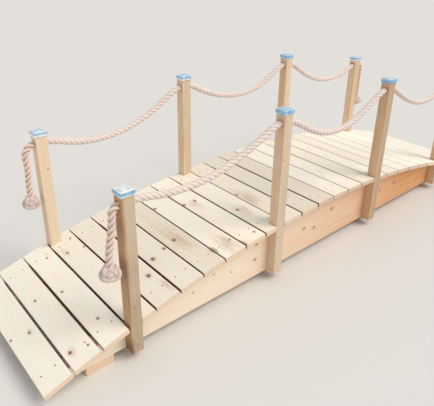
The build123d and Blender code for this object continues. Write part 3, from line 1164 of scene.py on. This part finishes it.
class FOOTBRIDGE_OT_beams(bpy.types.Operator):
    """Shape the two arched beams and the two bearers under their ends"""

    bl_idname = "footbridge.beams"
    bl_label = "Beams and bearers"

    def execute(self, context):
        timber = context.scene.footbridge_timber
        wood = (
            timber, timber.beam_colour, timber.beam_late_colour, timber.end_colour,
            timber.beam_knot_colour,
        )
        for side, sign in SIDES.items():
            node = f"beam_{side}"
            material = planed_timber(
                f"spruce_planed_{node}", *wood, ring=timber.ring_width * 1.5, contrast=0.09,
                knots=BEAM_KNOTS[side], uneven=0.6,
            )
            points, faces, end = beam_surface(sign)
            x, y, z = points.T
            grain = np.column_stack([x, z, (y - sign * BEAM_ROW) * sign])
            warmth = np.interp(x, *BEAM_WARMTH)
            values = timber_values(grain, end, pith=(3.7 * sign, 0.16, -0.11), warmth=warmth)
            add_piece(f"{node}_planed", points, faces, material, "beam_timber", (node,), values)
        material = planed_timber(
            "spruce_sawn_bearer", *wood, ring=timber.ring_width, contrast=0.5
        )
        section = bar_section(BEARER_HEIGHT, ARRIS, ARRIS)
        for end_name, sign in {"left": -1, "right": 1}.items():
            node = f"bearer_{end_name}"
            low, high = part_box(node)
            half = high.y - EASE
            stations = np.zeros((9, 5))
            stations[:, :3] = [0.0, -BEARER_WIDTH / 2, BEARER_WIDTH / 2]
            stations[:, 0] = np.linspace(-half, half, 9)
            points, faces, end = bar_surface(stations, section, BEARER_HEIGHT)
            values = timber_values(
                points[:, [1, 0, 2]], end, pith=(8.0 * sign, 0.02, -0.09),
                knots=[(0.2, 0.02, 0.008)], tone=-0.25, warmth=0.3,
            )
            world = points + [(low.x + high.x) / 2, 0, high.z]
            add_piece(f"{node}_sawn", world, faces, material, "beam_timber", (node,), values)
        return {"FINISHED"}


class FOOTBRIDGE_OT_posts(bpy.types.Operator):
    """Stand the eight bored posts beside the beams"""

    bl_idname = "footbridge.posts"
    bl_label = "Posts"

    def execute(self, context):
        timber = context.scene.footbridge_timber
        material = planed_timber(
            "pine_treated_post", timber, timber.post_colour, timber.post_late_colour,
            timber.post_late_colour, timber.knot_colour, ring=timber.ring_width * 0.9,
            contrast=0.22, soak=(4.5, 110.0, 110.0),
        )
        for side, sign in SIDES.items():
            for number, (name, (x, top)) in enumerate(post_middles().items()):
                chance = np.random.default_rng(POST_SEED + number + 10 * sign)
                height = top - BEAM_BOTTOM
                bore_height = height - BORE_DROPS[name.split("_")[1]]
                points, faces, end = post_surface(height, bore_height)
                knot = (*chance.uniform(*POST_KNOT_LIMITS), POST_KNOT_RADIUS)
                pith = tuple(chance.uniform(*POST_PITH_LIMITS))
                # The left faces' tone and warmth are painted light and shade: the shade on those
                # faces and the warm light bounced onto them
                tone, warmth, left_light_tone, left_bounce_warmth = POST_SHADES[side][number]
                left = points[:, 0] < FACE_DEPTH - POST_SIDE / 2
                values = timber_values(
                    points[:, [2, 0, 1]], end, pith, [knot],
                    tone=np.where(left, left_light_tone, tone),
                    warmth=np.where(left, left_bounce_warmth, warmth),
                    stain=POST_STAINS.get(f"{side}_{name}", NOWHERE),
                )
                # The tone's change with height is partly painted light and shade
                rises = POST_TONE_RISE.get(f"{side}_{name}", ())
                for face, rise in zip((~left, left), rises):
                    values["tone"][face] += np.interp(points[face, 2], *rise)
                world = points + [x, sign * POST_ROW, BEAM_BOTTOM]
                node = f"post_{side}_{name}"
                add_piece(f"{node}_planed", world, faces, material, "post_timber", (node,), values)
        return {"FINISHED"}


class FOOTBRIDGE_OT_caps(bpy.types.Operator):
    """Fold the sheet caps over the posts' tops"""

    bl_idname = "footbridge.caps"
    bl_label = "Post caps"

    def execute(self, context):
        metal = context.scene.footbridge_metal
        material = galvanised_sheet("steel_sheet_galvanised", metal)
        points, faces, rim = cap_surface()
        for side, sign in SIDES.items():
            places, lips, highlights = [], [], []
            for (pale, edge), (x, top) in zip(CAP_HIGHLIGHTS_AND_LIPS[side], post_middles().values()):
                places.append(points + [x, sign * POST_ROW, top])
                lips.append(np.clip((edge - points[:, 2]) / CAP_LIP_BLEND, 0, 1))
                # pale is painted highlight on a cap's top, kept off its rim
                highlights.append(pale * (1 - rim))
            values = {
                "rim": np.tile(rim, len(places)), "lip": np.concatenate(lips),
                "pale": np.concatenate(highlights),
            }
            node = f"post_caps_{side}"
            add_piece(
                f"{node}_folded", *copied(places, faces), material, "cap_metal", (node,), values,
                sharp=30,
            )
        return {"FINISHED"}


class FOOTBRIDGE_OT_screws(bpy.types.Operator):
    """Drive the deck screws into the beams and the screws through the posts"""

    bl_idname = "footbridge.screws"
    bl_label = "Screws"

    def execute(self, context):
        metal = context.scene.footbridge_metal
        material = screw_steel("steel_screw_coated", metal.screw_colour)
        head, faces = screw_surface()
        places = []
        for number in range(1, BOARD_COUNT + 1):
            chance = np.random.default_rng(SCREW_SEED + number)
            middle, axes, _ = board_place(number)
            for sign in SIDES.values():
                for offset in (-SCREW_SPACING, SCREW_SPACING):
                    stray = chance.uniform(-SCREW_STRAY, SCREW_STRAY, 2)
                    x, y = stray + [offset, sign * SCREW_ROW]
                    sink = BOARD_CROWN * (x / (BOARD_WIDTH / 2)) ** 2
                    places.append((head + [x, y, -sink]) @ axes + middle)
        add_piece("deck_screws", *copied(places, faces), material, "cap_metal", sharp=30)
        places = []
        for sign in SIDES.values():
            for name, (x, _) in post_middles().items():
                offset, level = POST_SCREWS[name.split("_")[1]]
                turned = head[:, [0, 2, 1]] * [1, sign, 1]
                places.append(turned + [x + offset, sign * (POST_ROW + POST_SIDE / 2), level])
        add_piece("post_screws", *copied(places, faces), material, "cap_metal", sharp=30)
        return {"FINISHED"}


class FOOTBRIDGE_OT_ropes(bpy.types.Operator):
    """Lay the rope handrails of both sides, span by span, with their hanging ends"""

    bl_idname = "footbridge.ropes"
    bl_label = "Rope handrails"

    def execute(self, context):
        rope = context.scene.footbridge_rope
        material = laid_rope("rope_three_strand_natural_fibre", rope)
        for side, sign in SIDES.items():
            for number, (stretch, (length, route)) in enumerate(ROPES[side].items()):
                tail = stretch.endswith("tail")
                line = read_route(f"{side}_{stretch}", sign, route)
                centres, along = even_steps(line, rope.step)
                tangent = np.gradient(centres, axis=0)
                points, faces, strand = strand_surface(
                    centres, tangent, along, np.cross([0.0, 1.0, 0.0], tangent),
                    rope.diameter / 2, rope.lay, TAIL_RELIEF if tail else SPAN_RELIEF,
                    start_turn=STRETCH_TURN * number,
                )
                height = (points.reshape(len(centres), -1, 3) - centres[:, None])[..., 2].ravel()
                # Painted light: the spans are lighter towards their tops
                values = {
                    "strand": strand, "handled": np.full(len(points), float(tail)),
                    "painted_light": TAIL_LIGHT_LEVEL + 0 * height if tail else 0.5 + height / rope.diameter,
                }
                piece = add_piece(
                    f"rope_{side}_{stretch}", points, faces, material, "rope", (f"rope_{side}",),
                    values, sharp=80,
                )
                knots = []
                if tail:
                    knots = [self.knot(rope, material, f"knot_{side}_{stretch.split('_')[0]}")]
        return {"FINISHED"}

    def knot(self, rope, material, node):
        """The stopper knot on one hanging end, where its node is."""
        low, high = np.array(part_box(node))
        width, _, depth = high - low
        radius = KNOT_TUBE * rope.diameter
        centres, tangent, out = knot_line(width, depth, radius, KNOT_AXES[node])
        points, faces, strand = strand_surface(
            centres, tangent, length_along(centres), out, radius, rope.lay, KNOT_RELIEF,
            closed=True,
        )
        values = {
            "strand": strand, "handled": np.full(len(points), KNOT_HANDLED),
            "painted_light": np.full(len(points), KNOT_LIGHT_LEVEL),
        }
        world = points + (low + high) / 2
        return add_piece(
            f"{node}_rope", world, faces, material, "rope", (node,), values, sharp=80
        )


class FOOTBRIDGE_OT_stage(bpy.types.Operator):
    """Set the floor, the soft lamps and the camera at the photograph's eye"""

    bl_idname = "footbridge.stage"
    bl_label = "Floor, lamps and camera"

    def execute(self, context):
        stage = context.scene.footbridge_stage
        scene = context.scene
        scene.view_settings.view_transform = "Standard"

        material, _ = new_material("floor_matt_paint")
        shaded(material, {
            "Base Color": stage.floor_colour, "Roughness": 0.9, "Specular IOR Level": 0.1,
        })
        mesh = bpy.data.meshes.new("floor")
        corners = [(x * FLOOR_REACH, y * FLOOR_REACH, 0) for x, y in FLOOR_CORNERS]
        mesh.from_pydata(corners, [], [(0, 1, 2, 3)])
        mesh.materials.append(material)
        floor = bpy.data.objects.new("floor", mesh)
        scene.collection.objects.link(floor)

        world = bpy.data.worlds.new("soft_studio")
        world.use_nodes = True
        sky = world.node_tree.nodes["Background"]
        feed(sky.inputs["Color"], linear(SKY_COLOUR))
        feed(sky.inputs["Strength"], stage.sky_strength)
        scene.world = world
        data = bpy.data.lights.new("key_lamp", "SUN")
        data.energy = stage.key_strength
        data.angle = radians(LAMP_ANGLE)
        data.color = linear(LAMP_COLOUR)
        lamp = bpy.data.objects.new("key_lamp", data)
        lamp.rotation_euler = Vector(LAMP_AIM).to_track_quat("-Z", "Y").to_euler()
        lamp.location = LAMP_PLACE
        scene.collection.objects.link(lamp)

        yaw, pitch, roll = radians(EYE_YAW), radians(EYE_PITCH), radians(EYE_ROLL)
        ahead = np.array([cos(pitch) * cos(yaw), cos(pitch) * sin(yaw), sin(pitch)])
        right = np.array([sin(yaw), -cos(yaw), 0.0])
        up = np.cross(right, ahead)
        rolled_right = cos(roll) * right + sin(roll) * up
        rolled_up = cos(roll) * up - sin(roll) * right
        turn = Matrix(np.column_stack([rolled_right, rolled_up, -ahead]).tolist())
        width, height = IMAGE_SIZE
        data = bpy.data.cameras.new("photograph_eye")
        data.sensor_fit = "HORIZONTAL"
        data.sensor_width = SENSOR_WIDTH
        data.lens = FOCAL_PIXELS * SENSOR_WIDTH / width
        data.shift_x = (width / 2 - AXIS_PIXEL[0]) / width
        data.shift_y = (AXIS_PIXEL[1] - height / 2) / width
        camera = bpy.data.objects.new("photograph_eye", data)
        camera.matrix_world = Matrix.Translation(EYE) @ turn.to_4x4()
        scene.collection.objects.link(camera)
        scene.camera = camera
        return {"FINISHED"}


GROUPS = {
    "footbridge_timber": FootbridgeTimber,
    "footbridge_rope": FootbridgeRope,
    "footbridge_metal": FootbridgeMetal,
    "footbridge_stage": FootbridgeStage,
}
STEPS = (
    FOOTBRIDGE_OT_deck,
    FOOTBRIDGE_OT_beams,
    FOOTBRIDGE_OT_posts,
    FOOTBRIDGE_OT_caps,
    FOOTBRIDGE_OT_screws,
    FOOTBRIDGE_OT_ropes,
    FOOTBRIDGE_OT_stage,
)


class FOOTBRIDGE_PT_panel(bpy.types.Panel):
    """The footbridge's settings and steps"""

    bl_idname = "FOOTBRIDGE_PT_panel"
    bl_label = "Footbridge"
    bl_space_type = "VIEW_3D"
    bl_region_type = "UI"
    bl_category = "Footbridge"

    def draw(self, context):
        layout = self.layout
        for name in GROUPS:
            group = getattr(context.scene, name)
            box = layout.box()
            for setting in group.__annotations__:
                box.prop(group, setting)
        for step in STEPS:
            layout.operator(step.bl_idname)


def register():
    for name, group in GROUPS.items():
        bpy.utils.register_class(group)
        setattr(bpy.types.Scene, name, PointerProperty(type=group))
    for step in STEPS:
        bpy.utils.register_class(step)
    bpy.utils.register_class(FOOTBRIDGE_PT_panel)


def unregister():
    bpy.utils.unregister_class(FOOTBRIDGE_PT_panel)
    for step in STEPS:
        bpy.utils.unregister_class(step)
    for name, group in GROUPS.items():
        delattr(bpy.types.Scene, name)
        bpy.utils.unregister_class(group)


def main():
    register()
    bpy.ops.footbridge.deck()
    bpy.ops.footbridge.beams()
    bpy.ops.footbridge.posts()
    bpy.ops.footbridge.caps()
    bpy.ops.footbridge.screws()
    bpy.ops.footbridge.ropes()
    bpy.ops.footbridge.stage()


if __name__ == "__main__":
    main()
